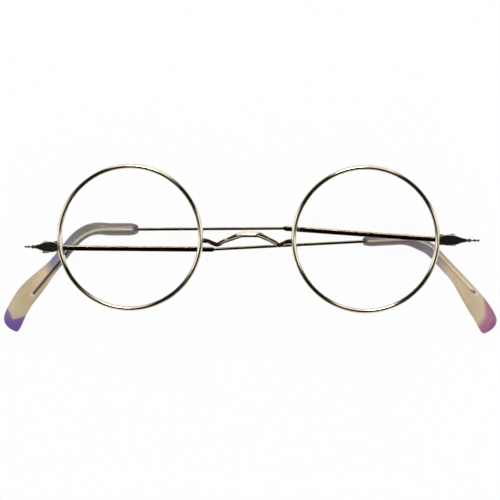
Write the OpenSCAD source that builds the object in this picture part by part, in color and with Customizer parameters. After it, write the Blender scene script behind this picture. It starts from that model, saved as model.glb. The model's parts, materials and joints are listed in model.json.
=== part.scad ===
// Round wire-rim eyeglasses, folded, lying on their temple tips with the lens fronts up.
// X runs along the front, Y runs up the wearer's face and Z points away from the face.
// Pairs of values in square brackets are [left, right] as seen from the front.

/* [Rims and lenses] */
// Outer diameter of each round rim
rim_d = 43; // [38:0.5:48]
// Radial thickness of the rim wire
rim_wall = 1.5; // [1.3:0.1:2]
// Depth of the rim wire, front to back
rim_depth = 1.9; // [1.6:0.1:2.4]
// Distance between the centres of the two rims
rim_spacing = 68.6; // [66:0.2:74]
// Depth of the V groove that holds the lens
groove = 0.55; // [0.4:0.05:0.7]
// Width of the groove at its mouth
groove_w = 1; // [0.8:0.1:1.2]
// Thickness of the lens
lens_t = 1.6; // [1.2:0.1:2.2]
// Radius of the lens curve
lens_curve = 120; // [90:5:300]
// Gap between the lens and its groove
lens_gap = 0.04; // [0.02:0.01:0.1]

/* [Bridge] */
// Diameter of the bridge wire at its feet
bridge_d = 1.3; // [1:0.1:1.6]
// Width of the flattened saddle at the crest
saddle_w = 1.7; // [1.4:0.1:2.6]
// Thickness of the flattened saddle at the crest
saddle_t = 1; // [0.8:0.1:1.3]
// Height of the crest above the rim centres
crest_rise = 1.15; // [0.4:0.05:3]
// Depth of the two dips below the rim centres
dip_drop = 1.9; // [1:0.1:3]
// How far the crest is set back from the rims
crest_back = 3.6; // [2:0.2:5]
// Sideways offset of the hand-bent crest
crest_shift = 0.6; // [0:0.1:1]

/* [Rim locks] */
// Height of each lock barrel
barrel_h = 1.35; // [1:0.05:1.8]
// Radius of the lock barrels
barrel_r = 0.8; // [0.7:0.05:1]
// Radius of the lock screw's shank
lock_screw_r = 0.35; // [0.3:0.05:0.4]
// Radius of the lock screw's head
lock_head_r = 0.55; // [0.5:0.05:0.7]
// Height of the lock screw's head
lock_head_h = 0.35; // [0.25:0.05:0.5]
// Width of the cut that lets the rim open
rim_cut = 0.12; // [0.1:0.02:0.3]

/* [Endpieces] */
// Height of each endpiece below its rim centre
end_drop = [3, 0.1];
// Length of each spindle-shaped endpiece
end_len = [6.2, 7.4];
// Greatest height of the endpiece
end_h = 3.2; // [3:0.1:4]
// Height of the endpiece at its tip
end_tip_h = 1.1; // [1:0.05:1.8]
// Thickness of the endpiece
end_t = 0.98; // [0.8:0.02:1.3]
// Width of the bevel round the endpiece's face
end_bevel = 0.3; // [0.2:0.05:0.4]
// Length of the turned finial past each endpiece
finial_len = [3.2, 3.9];
// Greatest radius of the finial's bulb
finial_r = 0.58; // [0.45:0.02:0.7]

/* [Hinges] */
// Distance from the rim's edge out to the hinge axis
hinge_out = 3.7; // [3.4:0.1:4.2]
// Distance from the back of the endpiece to the hinge axis
hinge_back = 2.5; // [2.3:0.1:3]
// Radius of the hinge knuckles
knuckle_r = 0.95; // [0.9:0.05:1.1]
// Height of each of the three knuckles
knuckle_h = 1; // [0.8:0.05:1.2]
// Half width of the arms that carry the outer knuckles
arm_half = 0.55; // [0.5:0.05:0.6]
// Radius of the hinge screw's shank
pin_r = 0.47; // [0.4:0.01:0.55]
// Radius of the hinge screw's head
pin_head_r = 0.75; // [0.7:0.05:0.9]
// Height of the hinge screw's head
pin_head_h = 0.4; // [0.3:0.05:0.6]
// Radial clearance of the hinge screw in its knuckles
pin_gap = 0.03; // [0.02:0.01:0.06]
// Gap between neighbouring knuckles
knuckle_gap = 0.05; // [0.03:0.01:0.1]
// Length of the temple leaf along the temple
leaf_len = 4.6; // [3:0.2:7]
// Thickness of the plates that the knuckles stand on
leaf_t = 0.35; // [0.3:0.05:0.5]
// Angle past square at which an opened temple stops
splay = 7; // [0:0.5:8]

/* [Temples] */
// Height of the flat bar of each temple
bar_h = 1.6; // [1.3:0.1:2]
// Thickness of the flat bar
bar_t = 1; // [0.9:0.05:1.2]
// Length of the flat bar from the hinge axis
bar_len = 49; // [40:1:60]
// Upward tilt of each flat bar
bar_tilt = [0, 3.8];
// Upward tilt of the wire behind each bar
wire_tilt = [3.5, -0.8];
// Height of each temple at its hinge, above its endpiece
bar_lift = [-0.25, -0.05];
// Diameter of the temple wire
wire_d = 0.95; // [0.7:0.05:1]
// Distance from the hinge axis to the corner of each ear bend
corner_at = [111, 108.1];
// Angle of the ear bend
ear_bend = 50; // [40:1:60]
// Radius of the ear bend at the wire
ear_r = 12; // [9:0.5:16]
// Angle between a folded temple and the front
fold_gap = 4; // [3.5:0.5:5]
// Distance from the hinge axis to where the temple turns level
level_at = 88; // [80:1:90]

/* [Tip sleeves] */
// Distance from the hinge axis to the mouth of each sleeve
sleeve_at = [93, 92.6];
// Half width of each sleeve between its mouth and the ear bend
mouth_w = [1.6, 1.85];
// Half width of the sleeve past the ear bend
sleeve_w = 1.85; // [1.5:0.05:2.1]
// Half width of the paddle at the sleeve's end
paddle_w = 3.05; // [2.6:0.05:3.6]
// Distance past the ear bend at which the sleeve starts to widen
swell_at = 7; // [4:0.5:9]
// Length over which the sleeve widens
swell_len = 14; // [8:0.5:16]
// Length of the rounded end of the paddle
round_len = 4.2; // [3:0.2:6]
// Offset of each sleeve from its wire past the ear bend, towards the inside of the bend
sleeve_lean = [0.8, -0.75];
// Share of each paddle's widening that lies inside the bend, from -1 to 1
swell_lean = [1, -0.5];
// Half thickness of the sleeve
sleeve_t = 1.4; // [1.2:0.05:1.6]
// Length of wire past each ear bend
drop_len = [17, 20];
// Length of the curved end past the straight drop
tip_len = 12; // [9:0.5:15]
// Further turn of the curved end
tip_turn = 25; // [10:1:40]
// Radial clearance of the wire in its sleeve
sleeve_gap = 0.06; // [0.04:0.01:0.12]
// Depth of the flat that the sleeve rests on
rest_flat = 0.2; // [0.1:0.05:0.3]

/* [Hidden] */

LEFT = 0;
RIGHT = 1;
seat_gap = 0.02;
round_fn = 48;
fine_fn = 360;

rim_r = rim_d / 2;
rim_in = rim_r - rim_wall;
rim_x = rim_spacing / 2;
rim_chamfer = rim_depth / 4;
half_gap = rim_x - rim_r;
end_back = -4 * seat_gap;
axis_x = rim_x + rim_r + hinge_out;
axis_z = end_back - hinge_back;
bar_inner = knuckle_r + knuckle_gap;
bar_mid = bar_inner + bar_t / 2;
hinge_half = 1.5 * knuckle_h + knuckle_gap;
bore_r = pin_r + pin_gap;
butt = (hinge_back - 2 * knuckle_gap - (bar_inner + bar_t) * sin(splay)) / cos(splay);

// Centre line of a temple, by distance q from the hinge axis, for the right side's sense.
bend_run = ear_r * tan(ear_bend / 2);
bend_len = ear_r * ear_bend * PI / 180;
function bend_at(s) = corner_at[s] - bend_run;
function drop_at(s) = bend_at(s) + bend_len;
function tip_at(s) = drop_at(s) + drop_len[s];
function end_at(s) = tip_at(s) + tip_len;
function line_y(s, q) = axis_y(s) + (q < bar_len ? q * tan(bar_tilt[s])
  : bar_len * tan(bar_tilt[s]) + (q - bar_len) * tan(wire_tilt[s]));
function axis_y(s) = bar_lift[s] - end_drop[s];

// Both hinge axes stand square to the line through the two hinges.
axis_lean = atan((axis_y(RIGHT) - axis_y(LEFT)) / (2 * axis_x));
function lean_of(s) = s == RIGHT ? axis_lean : -axis_lean;

// Depth: the temple leaves its hinge at the fold gap and turns level over a short blend.
level_blend = 4;
function line_z(q) = let (slope = tan(fold_gap), from = level_at - level_blend)
  axis_z - bar_mid / cos(fold_gap) - (q < from ? slope * q
  : q > level_at + level_blend ? slope * level_at
  : slope * (q - pow(q - from, 2) / (4 * level_blend)));
level_z = line_z(level_at + level_blend);

function straight_end(s) = [axis_x - bend_at(s), line_y(s, bend_at(s)), level_z];
function turned(p, r, from, turn) = p
  + r * [sin(from - turn) - sin(from), cos(from - turn) - cos(from), 0];
function ahead(p, slope, len) = p + len * [-cos(slope), sin(slope), 0];
function bend_end(s) = turned(straight_end(s), ear_r, wire_tilt[s], ear_bend);
function drop_end(s) = ahead(bend_end(s), wire_tilt[s] - ear_bend, drop_len[s]);
tip_r = tip_len / (tip_turn * PI / 180);
function temple_at(s, q) =
  q < bend_at(s) ? [axis_x - q, line_y(s, q), line_z(q)]
  : q < drop_at(s) ? turned(straight_end(s), ear_r, wire_tilt[s], (q - bend_at(s)) / ear_r * 180 / PI)
  : q < tip_at(s) ? ahead(bend_end(s), wire_tilt[s] - ear_bend, q - drop_at(s))
  : turned(drop_end(s), tip_r, wire_tilt[s] - ear_bend, (q - tip_at(s)) / tip_r * 180 / PI);

// Rings of points along a line: each ring is an oval with half width w and half thickness h.
function unit(v) = v / norm(v);
function heading(p, i) = unit(p[min(i + 1, len(p) - 1)] - p[max(i - 1, 0)]);
function ring(p, i, w, h, shift, sides) =
  let (along = heading(p, i), side = unit(cross([0, 0, 1], along)), up = cross(along, side))
  [for (k = [0:sides - 1])
    let (a = 360 * k / sides) p[i] + side * (shift + w * cos(a)) + up * (h * sin(a))];
function join(lists) = [for (l = lists) for (v = l) v];
function reversed(l) = [for (i = [len(l) - 1:-1:0]) l[i]];

module skin(rings) {
  n = len(rings[0]);
  last = n * (len(rings) - 1);
  polyhedron(join(rings), concat(
    [[for (k = [0:n - 1]) k]],
    join([for (i = [0:len(rings) - 2], k = [0:n - 1])
      let (a = i * n + k, b = i * n + (k + 1) % n) [[a, a + n, b], [b, a + n, b + n]]]),
    [[for (k = [n - 1:-1:0]) last + k]]), convexity = 10);
}

// Sleeve outline
sleeve_sides = 16;
core_sides = 12;
tip_curve = 2.4;
tip_lean = 0.68;
lean_lead = 2;
core_end_gap = 0.4;
core_stop = 0.6;
mouth_round = 0.5;
mouth_inset = 0.45;
mouth_steps = [0, 0.3, 0.65, 1];
tip_angles = [20, 38, 53, 66, 77, 85];
edge_power = 0.6;
bend_steps = 10;
drop_steps = 8;
run_steps = 4;
bore = (wire_d / 2 + sleeve_gap) / cos(180 / core_sides);
function smooth(f) = let (g = min(1, max(0, f))) g * g * (3 - 2 * g);
function past_bend(s, q) = smooth((q - bend_at(s) + lean_lead) / (bend_len / 2 + lean_lead));
function swell(s, q) = (paddle_w - sleeve_w) * smooth((q - drop_at(s) - swell_at) / swell_len);
function taper(s, q) = sqrt(max(0, 1 - pow(max(0, (q - end_at(s)) / round_len + 1), tip_curve)));
function sleeve_half(s, q) = mouth_w[s] + (sleeve_w - mouth_w[s]) * past_bend(s, q) + swell(s, q);
function lean(s, q) = sleeve_lean[s] * past_bend(s, q) + swell_lean[s] * swell(s, q)
  + tip_lean * sleeve_half(s, q) * (1 - taper(s, q));
function mouth_part(s, q) = let (f = min(1, (q - sleeve_at[s]) / mouth_round))
  1 - (1 - sqrt(1 - pow(1 - f, 2))) * mouth_inset;
function sleeve_stations(s) = concat(
  [for (f = mouth_steps) sleeve_at[s] + f * mouth_round],
  [for (i = [1:run_steps])
    sleeve_at[s] + mouth_round + i * (bend_at(s) - sleeve_at[s] - mouth_round) / run_steps],
  [for (i = [1:bend_steps]) bend_at(s) + i * bend_len / bend_steps],
  [for (i = [1:drop_steps]) drop_at(s) + i * drop_len[s] / drop_steps],
  [for (i = [1:run_steps]) tip_at(s) + i * (tip_len - round_len) / run_steps],
  [for (a = tip_angles) end_at(s) - round_len * (1 - sin(a))]);
function core_stations(s) = concat(
  [for (i = [0:run_steps]) sleeve_at[s] + i * (bend_at(s) - sleeve_at[s]) / run_steps],
  [for (i = [1:bend_steps]) bend_at(s) + i * bend_len / bend_steps],
  [for (i = [1:run_steps]) drop_at(s) + i * (drop_len[s] - core_stop) / run_steps]);
function sleeve_outer(s) = let (q = sleeve_stations(s), p = [for (v = q) temple_at(s, v)])
  [for (i = [0:len(q) - 1])
    let (t = taper(s, q[i]), m = mouth_part(s, q[i]))
    ring(p, i, sleeve_half(s, q[i]) * t * m, sleeve_t * pow(t, edge_power) * m, lean(s, q[i]), sleeve_sides)];
wire_root = 1.5;
function wire_stations(s) = concat(
  [bar_len - wire_root, bar_len, bar_len + 1],
  [for (i = [1:run_steps]) bar_len + i * (level_at - level_blend - bar_len) / run_steps],
  [for (i = [1:run_steps]) level_at - level_blend + 2 * i * level_blend / run_steps],
  [for (v = core_stations(s)) if (v > level_at + level_blend) v]);

// The origin is under the middle of the folded glasses, at the level they rest on.
function side_points(s) = join(sleeve_outer(s));
left_end = min(concat([for (p = side_points(RIGHT)) p.x], [-axis_x]));
right_end = max(concat([for (p = side_points(LEFT)) -p.x], [axis_x]));
low_end = min([for (s = [LEFT, RIGHT], p = side_points(s)) p.y]);
mid_x = (left_end + right_end) / 2;
mid_y = (rim_r + low_end) / 2;
lift = sleeve_t - rest_flat - level_z;

gold = [0.72, 0.64, 0.44];
dark_gold = [0.36, 0.31, 0.24];
steel = [0.3, 0.29, 0.28];
clear_glass = [0.9, 0.95, 0.96, 0.35];
smoky = [0.66, 0.6, 0.56, 0.8];

module place() {
  translate([-mid_x, -mid_y, lift]) children();
}

// Everything on one side is drawn for the right and mirrored for the left.
module on_side(s) {
  place() mirror([s == LEFT ? 1 : 0, 0, 0]) children();
}

module at_endpiece(s) {
  translate([rim_x + rim_r, -end_drop[s], 0]) children();
}

// At a hinge's middle, with Y along its axis.
module at_hinge(s) {
  translate([axis_x, axis_y(s), axis_z]) rotate([0, 0, lean_of(s)]) children();
}

module on_axis(s) {
  at_hinge(s) rotate([-90, 0, 0]) children();
}

// Rim: a ring with a V groove inside, cut through beside its lock.
module rim(s) {
  color(gold) on_side(s) difference() {
    translate([rim_x, 0, 0]) rotate_extrude($fn = round_fn) polygon([
      [rim_in, groove_w / 2], [rim_in + groove, 0], [rim_in, -groove_w / 2],
      [rim_in, -rim_depth / 2 + seat_gap], [rim_in + seat_gap, -rim_depth / 2],
      [rim_r - rim_chamfer, -rim_depth / 2], [rim_r, -rim_depth / 2 + rim_chamfer],
      [rim_r, rim_depth / 2 - rim_chamfer], [rim_r - rim_chamfer, rim_depth / 2],
      [rim_in + seat_gap, rim_depth / 2], [rim_in, rim_depth / 2 - seat_gap]]);
    translate([rim_x + rim_in - rim_wall, -end_drop[s] - rim_cut / 2, -rim_depth])
      cube([3 * rim_wall, rim_cut, 2 * rim_depth]);
  }
}

// Lens: a shallow curved disc whose bevelled edge lies in the groove.
module lens(s) {
  seat = rim_in - lens_gap;
  edge = rim_in + groove - 2 * lens_gap;
  steps = 10;
  sag = lens_curve - sqrt(pow(lens_curve, 2) - pow(seat, 2));
  arc = [for (i = [0:steps]) let (r = seat * i / steps)
    [r, sqrt(pow(lens_curve, 2) - pow(r, 2)) - lens_curve + sag]];
  half = groove_w / 2 - lens_gap;
  color(clear_glass) on_side(s) translate([rim_x, 0, 0]) rotate_extrude($fn = round_fn)
    polygon(concat(
      [for (p = arc) p + [0, -lens_t + half]],
      [[seat, -half], [edge, 0]],
      [for (p = reversed(arc)) p + [0, half]]));
}

// Bridge: one wire bent to a W, flattened into a saddle at its set-back crest.
bridge_foot = half_gap - seat_gap;
flat_run = 0.55 * half_gap;
bridge_shape = [
  [0.9, -0.5 * dip_drop, 0.05], [0.8, -0.8 * dip_drop, 0.2], [0.7, -dip_drop, 0.33],
  [0.6, -0.62 * dip_drop, 0.48], [0.46, -0.2 * dip_drop, 0.68], [0.31, 0.33 * crest_rise, 0.86],
  [0.2, 0.8 * crest_rise, 0.95], [0.1, 0.98 * crest_rise, 1]];
bridge_half = concat([[bridge_foot, -0.4 * dip_drop, 0]],
  [for (k = bridge_shape) [k.x * half_gap, k.y, -k.z * crest_back]]);
function knot_line() = [for (p = concat(bridge_half, [[0, crest_rise, -crest_back]],
  [for (p = reversed(bridge_half)) [-p.x, p.y, p.z]])) p - [crest_shift * p.z / crest_back, 0, 0]];
function blend_at(p, i, f) = let (a = p[max(i - 1, 0)], b = p[i], c = p[i + 1], d = p[min(i + 2, len(p) - 1)])
  (2 * b + (c - a) * f + (2 * a - 5 * b + 4 * c - d) * f * f + (3 * b - a - 3 * c + d) * f * f * f) / 2;
module bridge() {
  k = knot_line();
  per = 4;
  p = concat([for (i = [0:len(k) - 2], j = [0:per - 1]) blend_at(k, i, j / per)], [k[len(k) - 1]]);
  color(gold) place() skin([for (i = [0:len(p) - 1])
    let (f = sqrt(1 - min(1, abs(p[i].x) / flat_run)))
    ring(p, i, bridge_d / 2 + f * (saddle_w - bridge_d) / 2, bridge_d / 2 + f * (saddle_t - bridge_d) / 2,
      0, core_sides)]);
}

// Rim lock: two barrels, one on each end of the rim, drawn together by a screw.
lock_x = rim_r + seat_gap + lock_head_r;
lock_z = end_back - seat_gap - barrel_r;
module lock_barrel(s, up) {
  y = up ? rim_cut / 2 : -rim_cut / 2 - barrel_h;
  color(dark_gold) on_side(s) difference() {
    translate([rim_x + lock_x, -end_drop[s] + y, lock_z]) rotate([-90, 0, 0])
      cylinder(r = barrel_r, h = barrel_h, $fn = round_fn);
    translate([rim_x + lock_x, -end_drop[s] + y - barrel_h, lock_z]) rotate([-90, 0, 0])
      cylinder(r = lock_screw_r + pin_gap, h = 3 * barrel_h, $fn = round_fn);
    translate([rim_x, 0, -rim_depth]) cylinder(r = rim_r + seat_gap, h = 2 * rim_depth, $fn = fine_fn);
  }
}

module slotted_screw(r, len, head_r, head_h) {
  slot_w = head_r * 0.35;
  difference() {
    union() {
      cylinder(r = r, h = len, $fn = round_fn);
      translate([0, 0, len]) cylinder(r = head_r, h = head_h, $fn = round_fn);
    }
    translate([-2 * head_r, -slot_w / 2, len + head_h / 2]) cube([4 * head_r, slot_w, head_h]);
  }
}

module lock_screw(s) {
  reach = 2 * barrel_h + rim_cut + 2 * seat_gap;
  head_up = rim_cut / 2 + barrel_h + seat_gap;
  color(steel) on_side(s) translate([rim_x + lock_x, -end_drop[s] + head_up - reach, lock_z])
    rotate([-90, 0, 0]) slotted_screw(lock_screw_r, reach, lock_head_r, lock_head_h);
}

// Endpiece: a flat spindle with a bevelled face, its root fitted round the rim.
function spindle(s, inset) = let (l = end_len[s], h = end_h / 2, t = end_tip_h / 2,
  top = [[-0.2, 0.55 * h], [0.1 * l, 0.86 * h], [0.24 * l, h], [0.4 * l, 0.98 * h], [0.6 * l, 0.86 * h],
    [0.8 * l, 0.5 * (0.72 * h + t)], [l, t]])
  concat([for (p = top) [min(p.x, l - inset), p.y - inset]],
    [for (p = reversed(top)) [min(p.x, l - inset), inset - p.y]]);
module endpiece(s) {
  color(dark_gold) on_side(s) difference() {
    at_endpiece(s) translate([0, 0, end_back]) hull() {
      linear_extrude(end_t - end_bevel) polygon(spindle(s, 0));
      linear_extrude(end_t) polygon(spindle(s, end_bevel));
    }
    translate([rim_x, 0, -rim_depth]) cylinder(r = rim_r + seat_gap, h = 2 * rim_depth, $fn = round_fn);
  }
}

// Finial: collar, bulb, neck, bead and ball turned on one pin past the endpiece's tip.
module finial(s) {
  l = finial_len[s];
  r = finial_r;
  color(dark_gold) on_side(s) at_endpiece(s)
    translate([end_len[s] + seat_gap, 0, end_back + end_t / 2]) rotate([0, 90, 0])
      rotate_extrude($fn = round_fn) polygon([
        [0, 0], [0.8 * r, 0], [0.8 * r, 0.06 * l], [0.6 * r, 0.08 * l], [0.92 * r, 0.16 * l],
        [r, 0.24 * l], [0.85 * r, 0.32 * l], [0.4 * r, 0.4 * l], [0.36 * r, 0.5 * l], [0.6 * r, 0.58 * l],
        [0.62 * r, 0.66 * l], [0.36 * r, 0.74 * l], [0.3 * r, 0.78 * l], [0.5 * r, 0.85 * l],
        [0.52 * r, 0.92 * l], [0.3 * r, 0.98 * l], [0, l]]);
}

// Front leaf: two knuckles on arms from the back of the endpiece.
module knuckle(s, from, high, r) {
  on_axis(s) translate([0, 0, from]) cylinder(r = r, h = high, $fn = round_fn);
}

module front_leaf(s) {
  arm_l = hinge_back - seat_gap;
  color(dark_gold) on_side(s) difference() {
    union() {
      for (from = [-hinge_half, hinge_half - knuckle_h]) {
        knuckle(s, from, knuckle_h, knuckle_r);
        at_hinge(s) translate([-arm_half, from, 0]) cube([2 * arm_half, knuckle_h, arm_l]);
      }
      at_hinge(s) translate([-arm_half, -hinge_half, arm_l - leaf_t])
        cube([2 * arm_half, 2 * hinge_half, leaf_t]);
    }
    knuckle(s, -2 * hinge_half, 4 * hinge_half, bore_r);
  }
}

// Temple leaf: the middle knuckle and a plate on the inner face of the bar.
module temple_leaf(s) {
  mid = knuckle_h / 2;
  base = -bar_inner + seat_gap;
  plate_from = 0.9 * knuckle_r;
  color(dark_gold) on_side(s) difference() {
    union() {
      knuckle(s, -mid, knuckle_h, knuckle_r);
      at_hinge(s) rotate([0, -fold_gap, 0]) translate([-knuckle_r, -mid, base])
        cube([2 * knuckle_r, knuckle_h, -base]);
      translate([axis_x, axis_y(s), axis_z]) rotate([0, -fold_gap, 0]) rotate([0, 0, -bar_tilt[s]])
        translate([-leaf_len, -mid, base]) cube([leaf_len - plate_from, knuckle_h, leaf_t]);
    }
    knuckle(s, -2 * hinge_half, 4 * hinge_half, bore_r);
  }
}

module hinge_screw(s) {
  color(steel) on_side(s) on_axis(s) translate([0, 0, -hinge_half - seat_gap])
    slotted_screw(pin_r, 2 * hinge_half + 2 * seat_gap, pin_head_r, pin_head_h);
}

// Temple: a flat bar, then a round wire that runs on inside the tip sleeve.
module temple(s) {
  edge = bar_t / 5;
  stations = wire_stations(s);
  p = [for (q = stations) temple_at(s, q)];
  color(dark_gold) on_side(s) {
    translate([axis_x, axis_y(s), axis_z]) rotate([0, -fold_gap, 0]) rotate([0, 0, -bar_tilt[s]])
      translate([butt, 0, -bar_mid]) rotate([90, 0, -90]) linear_extrude(butt + bar_len) polygon([
        [-bar_h / 2, edge - bar_t / 2], [edge - bar_h / 2, -bar_t / 2], [bar_h / 2 - edge, -bar_t / 2],
        [bar_h / 2, edge - bar_t / 2], [bar_h / 2, bar_t / 2 - edge], [bar_h / 2 - edge, bar_t / 2],
        [edge - bar_h / 2, bar_t / 2], [-bar_h / 2, bar_t / 2 - edge]]);
    skin([for (i = [0:len(p) - 1]) ring(p, i, wire_d / 2, wire_d / 2, 0, core_sides)]);
  }
}

// Tip sleeve: an oval tube with a blind bore for the wire, a paddle end and a flat to rest on.
module tip_sleeve(s) {
  core = reversed(core_stations(s));
  bore_q = concat([core[0] + core_end_gap], core);
  p = [for (q = bore_q) temple_at(s, q)];
  inner = [for (i = [0:len(p) - 1]) reversed(ring(p, i, bore, bore, 0, sleeve_sides))];
  color(smoky) on_side(s) difference() {
    skin(concat(inner, sleeve_outer(s)));
    translate([-2 * axis_x, -2 * axis_x, level_z - sleeve_t + rest_flat - axis_x])
      cube([4 * axis_x, 4 * axis_x, axis_x]);
  }
}

rim(LEFT);  // left_rim
rim(RIGHT);  // right_rim
lens(LEFT);  // left_lens
lens(RIGHT);  // right_lens
bridge();
lock_barrel(LEFT, true);  // left_upper_lock_barrel
lock_barrel(LEFT, false);  // left_lower_lock_barrel
lock_screw(LEFT);  // left_lock_screw
lock_barrel(RIGHT, true);  // right_upper_lock_barrel
lock_barrel(RIGHT, false);  // right_lower_lock_barrel
lock_screw(RIGHT);  // right_lock_screw
endpiece(LEFT);  // left_endpiece
endpiece(RIGHT);  // right_endpiece
finial(LEFT);  // left_finial
finial(RIGHT);  // right_finial
front_leaf(LEFT);  // left_front_hinge_leaf
front_leaf(RIGHT);  // right_front_hinge_leaf
hinge_screw(LEFT);  // left_hinge_screw
hinge_screw(RIGHT);  // right_hinge_screw
temple_leaf(LEFT);  // left_temple_hinge_leaf
temple_leaf(RIGHT);  // right_temple_hinge_leaf
temple(LEFT);  // left_temple
temple(RIGHT);  // right_temple
tip_sleeve(LEFT);  // left_tip_sleeve
tip_sleeve(RIGHT);  // right_tip_sleeve
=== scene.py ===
"""Folded round wire-rim eyeglasses: polished gold wire, clear lenses, smoky tip sleeves with violet ends.

Lengths are in millimetres in the front's own frame (X along the front, Y up the face, Z out of the lenses,
the origin midway between the rims) until skin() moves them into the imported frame, in metres.
"""
import json
import math
import bpy
import numpy as np
from mathutils import Matrix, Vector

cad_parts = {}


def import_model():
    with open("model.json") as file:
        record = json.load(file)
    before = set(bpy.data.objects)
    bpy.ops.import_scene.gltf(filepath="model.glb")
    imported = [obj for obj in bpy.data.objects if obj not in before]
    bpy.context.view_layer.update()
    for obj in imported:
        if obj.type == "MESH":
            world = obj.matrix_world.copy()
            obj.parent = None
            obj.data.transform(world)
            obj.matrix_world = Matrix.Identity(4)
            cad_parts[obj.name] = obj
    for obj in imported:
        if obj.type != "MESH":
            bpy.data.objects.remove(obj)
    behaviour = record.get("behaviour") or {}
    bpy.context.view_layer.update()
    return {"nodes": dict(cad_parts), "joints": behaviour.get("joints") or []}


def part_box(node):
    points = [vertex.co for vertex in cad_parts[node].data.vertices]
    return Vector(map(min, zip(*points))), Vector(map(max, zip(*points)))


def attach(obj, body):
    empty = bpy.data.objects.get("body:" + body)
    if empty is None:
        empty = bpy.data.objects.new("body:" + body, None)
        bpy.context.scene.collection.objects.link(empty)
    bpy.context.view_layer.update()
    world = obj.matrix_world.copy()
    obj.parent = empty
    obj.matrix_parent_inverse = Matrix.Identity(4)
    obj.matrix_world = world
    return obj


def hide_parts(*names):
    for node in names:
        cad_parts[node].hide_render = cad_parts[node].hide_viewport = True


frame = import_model()
MM = 0.001


def middle(node):
    """The middle of a CAD node's box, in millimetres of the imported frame."""
    low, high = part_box(node)
    return (np.array(low) + np.array(high)) / 2 / MM


def extent(node):
    """The size of a CAD node's box, in millimetres."""
    low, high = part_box(node)
    return (np.array(high) - np.array(low)) / MM


# Rims and lenses, and the room that brazed pieces leave each other

FRONT_AT = (middle("left_rim") + middle("right_rim")) / 2
RIM_X = (middle("right_rim") - middle("left_rim"))[0] / 2
RIM_R = extent("right_rim")[0] / 2
RIM_DEPTH = extent("right_rim")[2]
RIM_WALL, RIM_CUT = 1.5, 0.12
GROOVE, GROOVE_W = 0.55, 1.0
LENS_T, LENS_CURVE, LENS_GAP = 1.6, 120, 0.04
LENS_POLE, LENS_BLUNT = 0.2, 0.03
SEAT = 0.02

# Bridge: its line between the rims, its wire, and the saddle that is rolled flat at its crest

HALF_GAP = RIM_X - RIM_R
DIP, CREST, CREST_BACK, CREST_SHIFT = 1.9, 1.15, 3.6, 0.6
BRIDGE_D, SADDLE_W, SADDLE_T = 1.3, 1.7, 1.0
SADDLE_SHARE, SADDLE_LEAN = 0.42, math.radians(16)
FOOT_SWELL, FOOT_LEN = 0.22, 0.3

# Endpieces, finials and rim locks

END_H, END_TIP_H, END_T, END_BACK = 3.2, 1.1, 0.98, -0.08
END_BEVEL, END_ROUND = 0.12, 0.08
FINIAL_R = 0.58
BARREL_H, BARREL_R, BARREL_ROUND = 1.35, 0.8, 0.12
LOCK_X, LOCK_Z, LOCK_BORE, BORE_BEVEL = 22.07, -0.9, 0.38, 0.05

# Temples: places along them are distances from the hinge axis

JOINT_AT = {joint["name"]: np.array(joint["pos_m"]) / MM for joint in frame["joints"]}
HINGE_AT = {side: JOINT_AT[side + "_temple_hinge"] - FRONT_AT for side in ("left", "right")}
AXIS_X = HINGE_AT["right"][0]
AXIS_Z = HINGE_AT["right"][2]
BAR_H, BAR_T, BAR_LEN, BAR_MID = 1.6, 1.0, 49, 1.5
BUTT, BUTT_ROUND, NECK_LEN = 2.17, 0.18, 0.9
WIRE_D, CORE_STOP, CORE_ROUND = 0.95, 0.6, 0.3
EAR_BEND, EAR_R = math.radians(50), 12
TIP_TURN, TIP_LEN = math.radians(25), 12
FOLD = math.tan(math.radians(4))
LEVEL_AT, LEVEL_BLEND = 88, 4

# Ear sleeves: their widths and thickness are halves

SLEEVE_W, PADDLE_W, SLEEVE_T, REST_FLAT = 1.85, 3.05, 1.4, 0.2
SWELL_AT, SWELL_LEN = 7, 14
ROUND_LEN, TIP_CURVE, TIP_LEAN, LEAN_LEAD = 4.2, 2.4, 0.68, 2
MOUTH_LEN, MOUTH_SHARE = 3.2, 0.42
BORE_R, BORE_FLARE = WIRE_D / 2 - 0.01, 0.12
SLEEVE_POWER, SLEEVE_POINTS = 2.1, 72
# Half widths of the painted highlight and its halo, and how far the painted dark line lies beside the wire
CORE_HALF, HALO_HALF, LINE_BESIDE = 0.42, 0.75, 0.62

# What differs from side to side. The endpiece lies drop below the middle of its rim, and end_len and
# finial are lengths. The bar and the wire tilt by so many degrees. The ear bend's corner, if it were
# sharp, would lie at corner, and straight is the length of the drop behind the ear. The sleeve starts at
# sleeve with half width mouth, and leans to one side of its wire by lean, and by swell_lean of its swell.
# The violet end's border is a V and a slant, as border gives them. A cream highlight of the wire is
# painted on the plastic as far as cream_to past the ear bend.
SIDES = {
    "left": dict(sign=-1, drop=3, end_len=6.2, finial=3.2, corner=111, bar=0, wire=3.5, straight=17,
                 sleeve=93, mouth=1.6, lean=0.8, swell_lean=1, border=(0.035, -0.068), cream_to=16,
                 body="left_temple_arm"),
    "right": dict(sign=1, drop=0.1, end_len=7.4, finial=3.9, corner=108.1, bar=3.8, wire=-0.8, straight=20,
                  sleeve=92.6, mouth=1.85, lean=-0.75, swell_lean=-0.5, border=(0.043, 0), cream_to=1,
                  body="right_temple_arm"),
}


# Shapes from rings of points

def smooth(f):
    """0 below 0, 1 above 1, and 3f^2 - 2f^3 between."""
    g = np.clip(f, 0, 1)
    return g * g * (3 - 2 * g)


def bell(v, half):
    """1 at 0, and to both sides e to the power of minus (v / half) squared."""
    return np.exp(-(v / half) ** 2)


def signed_power(v, p):
    """The sign of v times its size to the power p."""
    return np.sign(v) * np.abs(v) ** p


def full_turn(count):
    """Angles evenly round a full turn."""
    return np.linspace(0, 2 * np.pi, count, endpoint=False)


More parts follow.
